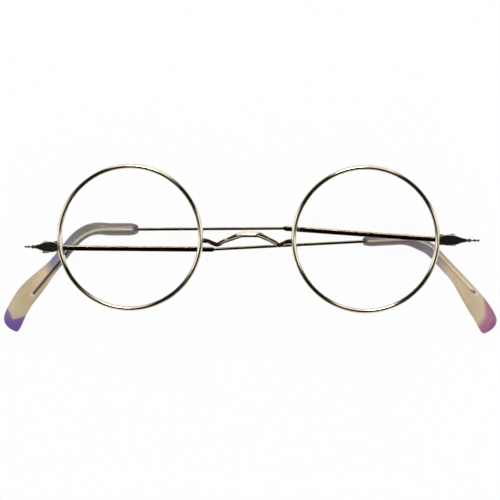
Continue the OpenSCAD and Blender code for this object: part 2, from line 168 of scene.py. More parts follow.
def faces_of(n, m, closed):
    """Quads between n rings of m points, and where the row of rings is open, a fan on each end's own
    point."""
    i, k = np.meshgrid(np.arange(n if closed else n - 1), np.arange(m), indexing="ij")
    here, there = i * m, (i + 1) % n * m
    quads = np.stack([here + k, here + (k + 1) % m, there + (k + 1) % m, there + k], -1).reshape(-1, 4)
    if closed:
        return quads.tolist()
    k = np.arange(m)
    first, last = n * m, n * m + 1
    fan = np.stack([np.full(m, first), (k + 1) % m, k], -1)
    far = np.stack([np.full(m, last), (n - 1) * m + k, (n - 1) * m + (k + 1) % m], -1)
    return quads.tolist() + fan.tolist() + far.tolist()


def volume_sign(points, faces):
    """The sign of the volume that the faces enclose: the sum of each triangle's triple product."""
    tri = np.array([(f[0], f[a], f[a + 1]) for f in faces for a in range(1, len(f) - 1)])
    a, b, c = (points[tri[:, j]] for j in range(3))
    return np.sign(np.sum(a * np.cross(b, c)))


def skin(name, rings, body, finish, sign=1, closed=False, stands_for=(), sharp=35, marks=None,
         second=None, second_rings=()):
    """A closed piece over rings of points, shape (rings, points, 3); sign -1 mirrors it to the left side.
    marks are float attributes, one value a ring point. The faces from each of the second_rings on wear
    second."""
    n, m = rings.shape[:2]
    points = rings.reshape(-1, 3)
    if not closed:
        points = np.concatenate([points, rings[:1].mean(1), rings[-1:].mean(1)])
    points = (points * [sign, 1, 1] + FRONT_AT) * MM
    faces = faces_of(n, m, closed)
    if volume_sign(points - points.mean(0), faces) < 0:
        faces = [f[::-1] for f in faces]
    mesh = bpy.data.meshes.new(name)
    mesh.from_pydata(points.tolist(), [], faces)
    for key, value in (marks or {}).items():
        flat = np.concatenate([value.reshape(-1), value[:1].mean(1), value[-1:].mean(1)])
        mesh.attributes.new(key, "FLOAT", "POINT").data.foreach_set("value", flat.astype(np.float32))
    mesh.materials.append(finish)
    if second:
        mesh.materials.append(second)
        ring_of = np.array([min(f) // m for f in faces])
        mesh.polygons.foreach_set("material_index", np.isin(ring_of, second_rings).astype(np.int32))
    mesh.shade_smooth()
    mesh.set_sharp_from_angle(angle=math.radians(sharp))
    piece = bpy.data.objects.new(name, mesh)
    bpy.context.scene.collection.objects.link(piece)
    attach(piece, body)
    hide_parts(*stands_for)
    return piece


def around(path, half_w, half_h, count, shift=0.0, power=2.0):
    """Rings of count points along a path: at each of its points an oval (or squarer, with a higher power)
    that is half_w wide to the path's side and half_h high, moved sideways by shift."""
    w, h, s, p = (np.broadcast_to(np.asarray(v, float), len(path))[:, None]
                  for v in (half_w, half_h, shift, power))
    along = np.gradient(path, axis=0)
    along /= np.linalg.norm(along, axis=1, keepdims=True)
    side = np.cross([0, 0, 1], along)
    side /= np.linalg.norm(side, axis=1, keepdims=True)
    up = np.cross(along, side)
    a = full_turn(count)
    across = s + w * signed_power(np.cos(a), 2 / p)
    above = h * signed_power(np.sin(a), 2 / p)
    return path[:, None] + side[:, None] * across[..., None] + up[:, None] * above[..., None]


def turned(profile, centre, axis, count, start=0.0, sweep=2 * np.pi):
    """Rings of a profile of (distance along the axis, radius) points turned about an axis through centre.
    With a part sweep the rings are count turned copies of the profile, else one ring of count points to
    each profile point."""
    axis = np.array(axis, float)
    one = np.array([0, 0, 1.0]) if abs(axis[2]) < 0.5 else np.array([1.0, 0, 0])
    u = np.cross(axis, one)
    u /= np.linalg.norm(u)
    v = np.cross(axis, u)
    whole = sweep == 2 * np.pi
    a = start + np.linspace(0, sweep, count, endpoint=not whole)
    out = np.cos(a)[:, None] * u + np.sin(a)[:, None] * v
    p = np.asarray(profile, float)
    rings = np.asarray(centre) + p[:, None, :1] * axis + p[:, None, 1:] * out[None]
    return rings if whole else rings.transpose(1, 0, 2)


def spline(knots, per):
    """A smooth line through the knots, per steps between each two (Catmull-Rom)."""
    k = np.asarray(knots, float)
    k = np.concatenate([k[:1], k, k[-1:]])
    f = np.arange(per)[:, None] / per
    a, b, c, d = k[:-3, None], k[1:-2, None], k[2:-1, None], k[3:, None]
    line = (2 * b + (c - a) * f + (2 * a - 5 * b + 4 * c - d) * f ** 2
            + (3 * b - a - 3 * c + d) * f ** 3) / 2
    return np.concatenate([line.reshape(-1, 3), k[-1:]])


# The temples' line

def stations(side):
    """Distances to the start of the ear bend, of the drop, of the tip's arc and to the end."""
    t = SIDES[side]
    bend_at = t["corner"] - EAR_R * math.tan(EAR_BEND / 2)
    drop_at = bend_at + EAR_R * EAR_BEND
    return bend_at, drop_at, drop_at + t["straight"], drop_at + t["straight"] + TIP_LEN


def arc(radius, heading, turn):
    """How far an arc leads in X and Y that starts at a heading and has turned by turn: from the end of
    the first radius to the end of the last."""
    return radius * np.stack([np.sin(heading - turn) - math.sin(heading),
                              np.cos(heading - turn) - math.cos(heading)])


def temple_line(side, q):
    """Points at distances q along a temple, in the right side's sense: the bar and the wire run straight,
    the ear bend is an arc, then comes a straight drop and a wider arc at the tip."""
    t = SIDES[side]
    bend_at, drop_at, tip_at, _ = stations(side)
    bar, wire, tip_r = math.radians(t["bar"]), math.radians(t["wire"]), TIP_LEN / TIP_TURN
    s = np.minimum(q, bend_at)
    rise = np.minimum(s, BAR_LEN) * math.tan(bar)
    y = HINGE_AT[side][1] + rise + np.maximum(s - BAR_LEN, 0) * math.tan(wire)
    ear = arc(EAR_R, wire, np.clip((q - bend_at) / EAR_R, 0, EAR_BEND))
    heading = wire - EAR_BEND
    drop = np.clip(q - drop_at, 0, t["straight"]) * np.array([[-math.cos(heading)], [math.sin(heading)]])
    tip = arc(tip_r, heading, np.clip((q - tip_at) / tip_r, 0, TIP_TURN))
    x, y = np.stack([AXIS_X - s, y]) + ear + drop + tip
    return np.stack([x, y, temple_depth(q)], -1)


def temple_depth(q):
    """The depth falls by the fold's slope and turns level over a parabola."""
    start = LEVEL_AT - LEVEL_BLEND
    bent = q - np.clip(q - start, 0, 2 * LEVEL_BLEND) ** 2 / (4 * LEVEL_BLEND)
    level = np.where(q > LEVEL_AT + LEVEL_BLEND, LEVEL_AT, bent)
    return AXIS_Z - BAR_MID * math.sqrt(1 + FOLD ** 2) - FOLD * level


LEVEL_Z = float(temple_depth(LEVEL_AT + LEVEL_BLEND))
FLOOR_Z = LEVEL_Z - SLEEVE_T + REST_FLAT


# Nodes that the materials and the light share

def new_node(tree, kind, **values):
    """A new shader node, with its sockets and settings set by name."""
    node = tree.nodes.new("ShaderNode" + kind)
    for key, value in values.items():
        if key in node.inputs:
            node.inputs[key].default_value = value
        else:
            setattr(node, key, value)
    return node


def calc(tree, operation, a, b):
    """One sum on two values, each a socket or a number."""
    node = new_node(tree, "Math", operation=operation)
    for value, socket in zip((a, b), node.inputs):
        if isinstance(value, (int, float)):
            socket.default_value = value
        else:
            tree.links.new(value, socket)
    return node.outputs[0]


def spread(tree, source, low, high, start=0, stop=1, kind="LINEAR"):
    """A value from start to stop spread over low to high, and held at low and high past them."""
    node = new_node(tree, "MapRange", interpolation_type=kind)
    for key, value in (("From Min", start), ("From Max", stop), ("To Min", low), ("To Max", high)):
        node.inputs[key].default_value = value
    tree.links.new(source, node.inputs["Value"])
    return node.outputs["Result"]


def noise(tree, scale, detail=3.0):
    """Noise over the object's own coordinates, in metres."""
    node = new_node(tree, "TexNoise", Scale=scale, Detail=detail)
    tree.links.new(new_node(tree, "TexCoord").outputs["Object"], node.inputs["Vector"])
    return node.outputs["Fac"]


def mark(tree, name):
    """One of the float attributes that skin() puts on a piece."""
    return new_node(tree, "Attribute", attribute_name=name).outputs["Fac"]


def ramp(tree, source, stops):
    """A colour ramp over a value, from (place, colour) stops."""
    node = new_node(tree, "ValToRGB")
    tree.links.new(source, node.inputs["Fac"])
    while len(node.color_ramp.elements) < len(stops):
        node.color_ramp.elements.new(0.5)
    for element, (place, colour) in zip(node.color_ramp.elements, stops):
        element.position = place
        element.color = (*colour, 1)
    return node.outputs["Color"]


def tinted(tree, colour, share, tint):
    """A colour that gives way to a tint as a share goes from 0 to 1."""
    mix = new_node(tree, "Mix", data_type="RGBA")
    tree.links.new(share, mix.inputs["Factor"])
    tree.links.new(colour, mix.inputs["A"])
    mix.inputs["B"].default_value = (*tint, 1)
    return mix.outputs["Result"]


def grain(tree, shader, source, distance, strength):
    """Fine relief from a value, distance metres deep."""
    node = new_node(tree, "Bump", Strength=strength, Distance=distance)
    tree.links.new(source, node.inputs["Height"])
    tree.links.new(node.outputs["Normal"], shader.inputs["Normal"])


# Materials

def material(name):
    """A new node material, its node tree and its Principled shader."""
    made = bpy.data.materials.new(name)
    made.use_nodes = True
    tree = made.node_tree
    return made, tree, next(node for node in tree.nodes if node.type == "BSDF_PRINCIPLED")


TONE_SCALE, BLOTCH_SCALE, HAIRLINE_SCALE = 260, 900, 5200
DEEP_AT, LIGHT_AT = 0.3, 0.62
# Where the dark marks (painted dark reflection, and the bridge's dark spots) start to cover the plate and
# cover it fully
DARKENING_FROM, DARKENING_FULL = 0.22, 0.42
HAIRLINE_DEPTH, HAIRLINE_RELIEF = 0.000004, 0.12


def polished_metal(name, light, deep, gloss, wear=0.05, spots_and_painted_reflection=None):
    """Plated metal: two close tones over broad noise, and fine hairlines in its roughness (from gloss to
    gloss and wear) and relief. Where the piece's dark-mark attribute times a blotchy noise is past the
    lower threshold, the dark colour starts to cover the plate, and past the upper one it covers it. On
    the temples this is a painted dark reflection; on the bridge it is dark spots in the dips and at the
    feet, and a painted dark reflection on the slopes' upper flank and the lower edge."""
    made, tree, shader = material(name)
    shader.inputs["Metallic"].default_value = 1
    colour = ramp(tree, noise(tree, TONE_SCALE), [(DEEP_AT, deep), (LIGHT_AT, light)])
    # The dark cover is a painted dark reflection, and on the bridge also dark spots
    if spots_and_painted_reflection:
        blotch = calc(tree, "MULTIPLY", mark(tree, "spots_and_painted_reflection"), noise(tree, BLOTCH_SCALE, 4.0))
        colour = tinted(tree, colour, spread(tree, blotch, 0, 1, DARKENING_FROM, DARKENING_FULL), spots_and_painted_reflection)
    tree.links.new(colour, shader.inputs["Base Color"])
    fine = noise(tree, HAIRLINE_SCALE, 2.0)
    tree.links.new(spread(tree, fine, gloss, gloss + wear), shader.inputs["Roughness"])
    grain(tree, shader, fine, HAIRLINE_DEPTH, HAIRLINE_RELIEF)
    return made


COATED_IOR, COATED_TINT = 1.2, (0.16, 0.2, 0.18, 1)


def clear_glass():
    """Clear lens glass. Its anti-reflective coat is stood in for by an index below that of real glass,
    which keeps it clear at low angles, and by a weak green tint on what it mirrors."""
    made, _, shader = material("lens_glass")
    shader.inputs["Base Color"].default_value = (1, 1, 1, 1)
    shader.inputs["Roughness"].default_value = 0.0
    shader.inputs["IOR"].default_value = COATED_IOR
    shader.inputs["Specular Tint"].default_value = COATED_TINT
    shader.inputs["Transmission Weight"].default_value = 1
    return made


# The painted highlight's cream and the painted shade line's dark, over the wire in the sleeve
PAINTED_HIGHLIGHT_CREAM, PAINTED_LINE_DARK = (0.95, 0.86, 0.62), (0.03, 0.025, 0.025)
CLOUD_SCALE, CLOUD_SHIFT = 320, 0.015
CLEAR, MILKY, CORE_CLEAR = 0.68, 0.12, 0.1
MILKY_FROM, MILKY_FULL = 0.68, 0.88
SLEEVE_ROUGHNESS, SLEEVE_IOR = 0.2, 1.47
RIPPLE_SCALE, RIPPLE_DEPTH, RIPPLE_RELIEF = 900, 0.00002, 0.15


def smoky_plastic(name, stops):
    """Smoky clear plastic whose colour runs along the sleeve to a violet end, where it turns milky: the
    along attribute is 0 at the mouth and 1 at the tip, and is shifted across the sleeve, so that the
    end's border is a V or a slant. Where the core attribute is high the plastic is painted cream and
    milky, a painted highlight of the wire inside, and where the deep attribute is high it is painted
    dark, a painted shade line."""
    made, tree, shader = material(name)
    along, core, deep = (mark(tree, key) for key in ("along", "core", "deep"))
    cloud = spread(tree, noise(tree, CLOUD_SCALE, 2.0), -CLOUD_SHIFT, CLOUD_SHIFT)
    smoke = ramp(tree, calc(tree, "ADD", along, cloud), stops)
    # The core mark paints a cream highlight and the deep mark a dark shade line over the plastic's colour
    colour = tinted(tree, tinted(tree, smoke, core, PAINTED_HIGHLIGHT_CREAM), deep, PAINTED_LINE_DARK)
    tree.links.new(colour, shader.inputs["Base Color"])
    clear = calc(tree, "MULTIPLY", spread(tree, along, CLEAR, MILKY, MILKY_FROM, MILKY_FULL),
                 spread(tree, core, 1, CORE_CLEAR))
    tree.links.new(clear, shader.inputs["Transmission Weight"])
    shader.inputs["Roughness"].default_value = SLEEVE_ROUGHNESS
    shader.inputs["IOR"].default_value = SLEEVE_IOR
    grain(tree, shader, noise(tree, RIPPLE_SCALE, 2.0), RIPPLE_DEPTH, RIPPLE_RELIEF)
    return made


GOLD = polished_metal("pale_gold_wire", light=(0.83, 0.75, 0.58), deep=(0.66, 0.58, 0.43), gloss=0.06)
# The bridge's and temples' dark colours are a painted dark reflection of the room, and on the bridge also
# dark spots in its dips and at its feet
GOLD_BRIDGE = polished_metal("pale_gold_bridge", light=(0.80, 0.71, 0.52), deep=(0.58, 0.49, 0.33),
                             gloss=0.07, spots_and_painted_reflection=(0.055, 0.028, 0.02))
GOLD_FITTINGS = polished_metal("pale_gold_fittings", light=(0.74, 0.67, 0.52), deep=(0.60, 0.53, 0.40),
                               gloss=0.09)
GOLD_TEMPLE = polished_metal("pale_gold_temple", light=(0.76, 0.67, 0.49), deep=(0.50, 0.41, 0.28),
                             gloss=0.07, spots_and_painted_reflection=(0.08, 0.06, 0.045))
# The wire inside the sleeve: rough, and pale as a painted highlight of the wire seen through the plastic
WIRE_CORE_PAINTED_HIGHLIGHT = polished_metal("roughened_core_painted_highlight", light=(0.92, 0.85, 0.68), deep=(0.86, 0.78, 0.60),
                           gloss=0.45, wear=0.15)
# Near-black metal for the finials, lock barrels and hinge leaves: a painted dark reflection of the room
# they mirror
PAINTED_DARK_METAL = polished_metal("painted_dark_fittings", light=(0.16, 0.14, 0.11), deep=(0.07, 0.06, 0.05),
                           gloss=0.14, wear=0.12)
STEEL = polished_metal("screw_steel", light=(0.56, 0.55, 0.53), deep=(0.42, 0.41, 0.40),
                       gloss=0.2, wear=0.1)
GLASS = clear_glass()
# Both sleeves are one plastic; where their ramps differ side to side, that is painted light, as each
# sleeve is lit differently
SMOKE = {
    "left": smoky_plastic("smoky_sleeve_left", [
        (0.0, (0.20, 0.16, 0.21)), (0.28, (0.23, 0.20, 0.24)), (0.45, (0.36, 0.31, 0.36)),
        (0.55, (0.74, 0.56, 0.42)), (0.70, (0.75, 0.60, 0.40)), (0.885, (0.66, 0.55, 0.38)),
        (0.925, (0.50, 0.19, 0.29)), (1.0, (0.33, 0.13, 0.28))]),
    "right": smoky_plastic("smoky_sleeve_right", [
        (0.0, (0.22, 0.18, 0.19)), (0.30, (0.26, 0.23, 0.20)), (0.57, (0.33, 0.33, 0.46)),
        (0.63, (0.82, 0.65, 0.47)), (0.80, (0.64, 0.51, 0.30)), (0.93, (0.56, 0.46, 0.33)),
        (0.942, (0.20, 0.12, 0.31)), (1.0, (0.17, 0.10, 0.34))]),
}


# Pieces

def rim(side):
    """A wire turned about the lens axis: an oval section, RIM_WALL by RIM_DEPTH, with a V groove on its
    inner side. It is cut open where the last turned copy of the section stops short of the first. That is
    at the top of the turn, so the rings are then turned from there to the lock."""
    t = SIDES[side]
    a = full_turn(72)
    depth = RIM_DEPTH / 2 * np.sin(a)
    radius = RIM_R - RIM_WALL / 2 + RIM_WALL / 2 * np.cos(a)
    inner = (np.cos(a) < 0) & (np.abs(depth) < GROOVE_W / 2)
    bottom = RIM_R - RIM_WALL + GROOVE * (1 - np.abs(depth) / (GROOVE_W / 2))
    radius = np.where(inner, np.maximum(radius, bottom), radius)
    half = RIM_CUT / 2 / RIM_R
    rings = turned(np.stack([depth, radius], -1), (RIM_X, 0, 0), (0, 0, 1), 257,
                   start=half, sweep=2 * np.pi - 2 * half)
    from_top = math.asin(-t["drop"] / RIM_R) - math.pi / 2
    c, s = math.cos(from_top), math.sin(from_top)
    x, y, z = np.moveaxis(rings - [RIM_X, 0, 0], -1, 0)
    rings = np.stack([RIM_X + c * x - s * y, s * x + c * y, z], -1)
    return skin(side + "_eyewire", rings, "front", GOLD, t["sign"], stands_for=[side + "_rim"])


def lens(side):
    """A shallow curved disc: both faces are arcs of the lens curve and meet at a bevel that lies in the
    groove."""
    seat = RIM_R - RIM_WALL - LENS_GAP
    edge = RIM_R - RIM_WALL + GROOVE - 2 * LENS_GAP - SEAT
    half = GROOVE_W / 2 - LENS_GAP
    r = np.linspace(LENS_POLE, seat, 30)
    sag = LENS_CURVE - math.sqrt(LENS_CURVE ** 2 - seat ** 2)
    arch = np.sqrt(LENS_CURVE ** 2 - r ** 2) - LENS_CURVE + sag
    back = np.stack([arch - LENS_T + half, r], -1)
    front = np.stack([arch + half, r], -1)[::-1]
    profile = np.concatenate([back, [[-half, seat], [-LENS_BLUNT, edge], [LENS_BLUNT, edge]], front])
    rings = turned(profile, (RIM_X, 0, 0), (0, 0, 1), 128)
    return skin(side + "_clear_lens", rings, "front", GLASS, SIDES[side]["sign"],
                stands_for=[side + "_lens"], sharp=25)


# From a rim to beside the crest: share of the half gap, height, and share of the set-back
BRIDGE_SHAPE = [(1 - SEAT / HALF_GAP, -0.4 * DIP, 0), (0.9, -0.5 * DIP, 0.05), (0.8, -0.8 * DIP, 0.2),
                (0.7, -DIP, 0.33), (0.6, -0.62 * DIP, 0.48), (0.46, -0.2 * DIP, 0.68),
                (0.31, 0.42 * CREST, 0.86), (0.2, 0.92 * CREST, 0.97), (0.1, 0.99 * CREST, 1)]
# Dark spots in the dips and at the feet: share of the half gap, half length, and strength
BRIDGE_SPOTS = [(0.74, 0.13, 1), (0.97, 0.08, 0.8)]
SLOPE_FROM, SLOPE_BLEND = 0.2, 0.08


def bridge():
    """One wire bent to a W: dips beside the rims and a set-back crest, where the round wire is rolled
    flat and leans back to lie on the nose. Each foot swells over its last half millimetre, as solder
    does. Dark spots lie in the dips and at the feet, and a painted dark reflection of the room lies on
    the upper flank of the slopes and along the lower edge."""
    half = [(x * HALF_GAP, y, -z * CREST_BACK) for x, y, z in BRIDGE_SHAPE]
    knots = np.array(half + [(0, CREST, -CREST_BACK)] + [(-x, y, z) for x, y, z in reversed(half)])
    knots[:, 0] -= CREST_SHIFT * knots[:, 2] / CREST_BACK
    path = spline(knots, 12)
    x = np.abs(path[:, 0])
    flat = smooth(1.25 - x / (SADDLE_SHARE * HALF_GAP))
    foot = 1 + FOOT_SWELL * np.exp(-(HALF_GAP - x) / FOOT_LEN)
    rings = around(path, (BRIDGE_D + flat * (SADDLE_W - BRIDGE_D)) / 2 * foot,
                   (BRIDGE_D + flat * (SADDLE_T - BRIDGE_D)) / 2 * foot, 40, power=2 + 0.7 * flat)
    c, s = np.cos(SADDLE_LEAN * flat[:, None]), np.sin(SADDLE_LEAN * flat[:, None])
    off_x, off_y, off_z = np.moveaxis(rings - path[:, None], -1, 0)
    rings = path[:, None] + np.stack([off_x, off_y * c + off_z * s, off_z * c - off_y * s], -1)
    out = np.abs(rings[..., 0]) / HALF_GAP
    lower = np.cos(full_turn(rings.shape[1]))
    spots = sum(strength * bell(out - at, half_len) for at, half_len, strength in BRIDGE_SPOTS)
    # The upper flank and the lower edge are a painted dark reflection of the room
    upper_flank = 0.9 * smooth((out - SLOPE_FROM) / SLOPE_BLEND) * smooth((0.2 - lower) / 0.4)
    lower_edge = 0.85 * smooth((lower - 0.7) / 0.2)
    return skin("saddle_bridge", rings, "front", GOLD_BRIDGE, stands_for=["bridge"],
                marks={"spots_and_painted_reflection": spots + upper_flank + lower_edge})


def clear_of_rim(rings):
    """Points that would lie in the rim are moved straight out to its surface."""
    x, y = rings[..., 0] - RIM_X, rings[..., 1]
    r = np.maximum(np.hypot(x, y), 1e-6)
    grow = np.maximum(1, (RIM_R + SEAT) / r)
    return np.stack([RIM_X + x * grow, y * grow, rings[..., 2]], -1)


def lock_barrel(side, level):
    """A short drilled barrel with rounded edges, hollowed where it sits on the rim. Its profile goes up
    the outside and down the bore."""
    t = SIDES[side]
    low = RIM_CUT / 2 if level == "upper" else -RIM_CUT / 2 - BARREL_H
    a = np.linspace(0, np.pi / 2, 6)
    corner, out = BARREL_ROUND * np.cos(a), BARREL_R - BARREL_ROUND + BARREL_ROUND * np.sin(a)
    low_edge = np.stack([BARREL_ROUND - corner, out], -1)
    top_edge = np.stack([BARREL_H - BARREL_ROUND + corner, out], -1)[::-1]
    bore = [[BARREL_H, LOCK_BORE + BORE_BEVEL], [BARREL_H - BORE_BEVEL, LOCK_BORE],
            [BORE_BEVEL, LOCK_BORE], [0, LOCK_BORE + BORE_BEVEL]]
    rings = turned(np.concatenate([low_edge, top_edge, bore]), (RIM_X + LOCK_X, -t["drop"] + low, LOCK_Z),
                   (0, 1, 0), 40)
    return skin(f"{side}_{level}_barrel", clear_of_rim(rings), "front", PAINTED_DARK_METAL,
                t["sign"], closed=True, stands_for=[f"{side}_{level}_lock_barrel"])


def endpiece(side):
    """A flat spindle: its outline swells and runs out to the tip, its face is flat inside a narrow bevel,
    and its root is hollowed to the rim. Each ring is a section across it: over the face, down the bevel
    and the side, under the back, and up the other side."""
    t = SIDES[side]
    length, high, tip = t["end_len"], END_H / 2, END_TIP_H / 2
    u = np.unique(np.round(np.append(np.linspace(0, 1, 49), 1 - END_BEVEL / length), 6))
    knots = [(0, 0.6 * high), (0.1, 0.86 * high), (0.24, high), (0.4, 0.98 * high), (0.6, 0.86 * high),
             (0.8, 0.5 * (0.72 * high + tip)), (1, tip)]
    line = spline([(share, half, 0) for share, half in knots], 24)
    h = np.interp(u, line[:, 0], line[:, 1])[:, None]
    close = smooth((u - 1) * length / END_BEVEL + 1)[:, None] * END_BEVEL
    top, level = END_BACK + END_T, 0 * h
    f = np.linspace(-1, 1, 9)[None]
    face_y = (h - END_BEVEL) * f
    edge_y = np.concatenate([h - 0.5 * END_BEVEL, h - 0.02, h, h, h - END_ROUND], 1)
    edge_z = np.concatenate([top - 0.42 * END_BEVEL - close, top - 0.93 * END_BEVEL - close * 0.4,
                             top - 1.1 * END_BEVEL - close * 0.3, END_BACK + END_ROUND + level,
                             END_BACK + level], 1)
    back_y = (h - END_ROUND) * -f[:, 1:-1]
    y = np.concatenate([face_y, edge_y, back_y, -edge_y[:, ::-1]], 1) - t["drop"]
    z = np.concatenate([top - close + 0 * face_y, edge_z, END_BACK + 0 * back_y, edge_z[:, ::-1]], 1)
    root = np.sqrt((RIM_R + SEAT) ** 2 - y ** 2) - RIM_R
    rings = np.stack([RIM_X + RIM_R + (root + u[:, None] * (length - root)), y, z], -1)
    return skin(side + "_spindle", rings, "front", GOLD_FITTINGS, t["sign"],
                stands_for=[side + "_endpiece"], sharp=20)


# Collar, bulb, bead and ball: the middle and half length as shares of the finial's length, the radius as
# a share of FINIAL_R, and the power of the ellipse
PIN_SIZE, BALL_AT, BALL_HALF, BALL_SIZE = 0.36, 0.9, 0.1, 0.6
FINIAL_PARTS = [(0.05, 0.05, 0.82, 4), (0.24, 0.15, 1.0, 2), (0.63, 0.12, 0.68, 2),
                (BALL_AT, BALL_HALF, BALL_SIZE, 2)]


def finial(side):
    """Turned on one pin: the radius at each distance is the greatest of a collar, a bulb, a bead and a
    ball, each a half ellipse, and of the pin between them. Past the ball's middle there is only the
    ball."""
    t = SIDES[side]
    x = np.linspace(0, 1, 161)
    radius = np.full_like(x, PIN_SIZE)
    for at, half, size, power in FINIAL_PARTS:
        level = np.maximum(0, 1 - np.abs((x - at) / half) ** power)
        radius = np.maximum(radius, size * level ** (1 / power))
    ball = BALL_SIZE * np.sqrt(np.maximum(0.001, 1 - ((x - BALL_AT) / BALL_HALF) ** 2))
    radius = np.where(x > BALL_AT, np.minimum(radius, ball), radius)
    profile = np.stack([x * t["finial"], np.maximum(radius * FINIAL_R, 0.01)], -1)
    start = (RIM_X + RIM_R + t["end_len"] + SEAT, -t["drop"], END_BACK + END_T / 2)
    return skin(side + "_turned_finial", turned(profile, start, (1, 0, 0), 40), "front",
                PAINTED_DARK_METAL, t["sign"], stands_for=[side + "_finial"], sharp=50)


def temple(side):
    """A rounded flat bar that narrows over the neck to a round wire, which goes on inside the sleeve to
    its blind end. The butt and the wire's end are rounded off. A painted dark reflection lies on the
    lower side, and inside the sleeve, as far as bright_to, the wire is roughened and painted pale, a
    painted highlight of the wire seen through the plastic."""
    t = SIDES[side]
    bend_at, drop_at, tip_at, _ = stations(side)
    stop = tip_at - CORE_STOP
    q = np.concatenate([[-BUTT, -BUTT + 0.06, -BUTT + BUTT_ROUND],
                        np.linspace(-BUTT + 0.4, BAR_LEN - 2, 40),
                        np.linspace(BAR_LEN - 1.6, BAR_LEN + 1.6, 33),
                        np.linspace(BAR_LEN + 2.5, bend_at, 60),
                        np.linspace(bend_at + 0.3, drop_at, 40),
                        np.linspace(drop_at + 0.5, stop - CORE_ROUND, 24),
                        [stop - 0.1, stop]])
    thin = smooth((q - BAR_LEN + NECK_LEN / 2) / NECK_LEN)
    butt = 0.88 + 0.12 * np.sqrt(np.clip((q + BUTT) / BUTT_ROUND, 0, 1))
    end = np.where(q < -BUTT + BUTT_ROUND, butt, 1)
    end = np.where(q > stop - CORE_ROUND, 1 - 0.3 * ((q - stop + CORE_ROUND) / CORE_ROUND) ** 2, end)
    half_w = (BAR_H / 2 * (1 - thin) + WIRE_D / 2 * thin) * end
    half_h = (BAR_T / 2 * (1 - thin) + WIRE_D / 2 * thin) * end
    rings = around(temple_line(side, q), half_w, half_h, 40, power=2.7 - 0.7 * thin)
    lower = np.cos(full_turn(rings.shape[1]))
    # A painted dark reflection on the lower side of the bar and the wire
    marks = {"spots_and_painted_reflection": 1.6 * smooth((lower + 0.7 - 0.12 * thin[:, None]) / 0.2)}
    # As far as bright_to the covered wire wears the pale painted highlight; on the right the drop past the
    # ear bend keeps the temple's gold
    bright_to = drop_at + 1 if side == "right" else stop
    return skin(side + "_temple_bar_and_wire", rings, t["body"], GOLD_TEMPLE, t["sign"],
                stands_for=[side + "_temple"], marks=marks, second=WIRE_CORE_PAINTED_HIGHLIGHT,
                second_rings=np.flatnonzero((q > t["sleeve"] + 0.3) & (q < bright_to)))


def sleeve_shape(side, q):
    """Half width, half thickness and sideways offset of a sleeve at distances q: even along the wire,
    wider from SWELL_AT past the bend, and rounded off over the last ROUND_LEN, with the tip to the inside
    of the bend."""
    t = SIDES[side]
    bend_at, drop_at, _, end_at = stations(side)
    past = smooth((q - bend_at + LEAN_LEAD) / (EAR_R * EAR_BEND / 2 + LEAN_LEAD))
    swell = (PADDLE_W - SLEEVE_W) * smooth((q - drop_at - SWELL_AT) / SWELL_LEN)
    left = np.sqrt(np.maximum(0, 1 - np.maximum(0, (q - end_at) / ROUND_LEN + 1) ** TIP_CURVE))
    half = t["mouth"] + (SLEEVE_W - t["mouth"]) * past + swell
    lean = t["lean"] * past + t["swell_lean"] * swell + TIP_LEAN * half * (1 - left)
    return half * left, SLEEVE_T * left ** 0.6, lean


def sleeve_painted_light(side, q, half, lean, turn):
    """The core and deep marks on the outer skin, one row to each distance q, all of them painted light: on
    top of the wire a painted cream highlight with a faint painted halo past it, and a painted dark line
    that lies beside the highlight and over the wire past it. Each fades across the sleeve as a bell does."""
    _, drop_at, tip_at, _ = stations(side)
    cream_end, core_end = drop_at + SIDES[side]["cream_to"], tip_at - CORE_STOP
    begun = smooth(q - SIDES[side]["sleeve"] - 1)
    cream = begun * smooth((cream_end - q) / 2)
    halo = 0.5 * begun * smooth((core_end + 1.1 - q) / 0.6) * (1 - cream)
    line = begun * smooth((core_end + 0.3 - q) / 0.6)
    beside = LINE_BESIDE * smooth((cream_end + 1 - q) / 3)
    across = lean[:, None] + half[:, None] * np.cos(turn)
    on_top = smooth(np.sin(turn) * 3)
    core = 0.85 * cream[:, None] * bell(across, CORE_HALF) + halo[:, None] * bell(across, HALO_HALF)
    line_half = CORE_HALF - 0.18 * cream[:, None]
    deep = (line * (1 - 0.6 * cream))[:, None] * on_top * bell(across - beside[:, None], line_half)
    return {"core": core * on_top, "deep": deep}


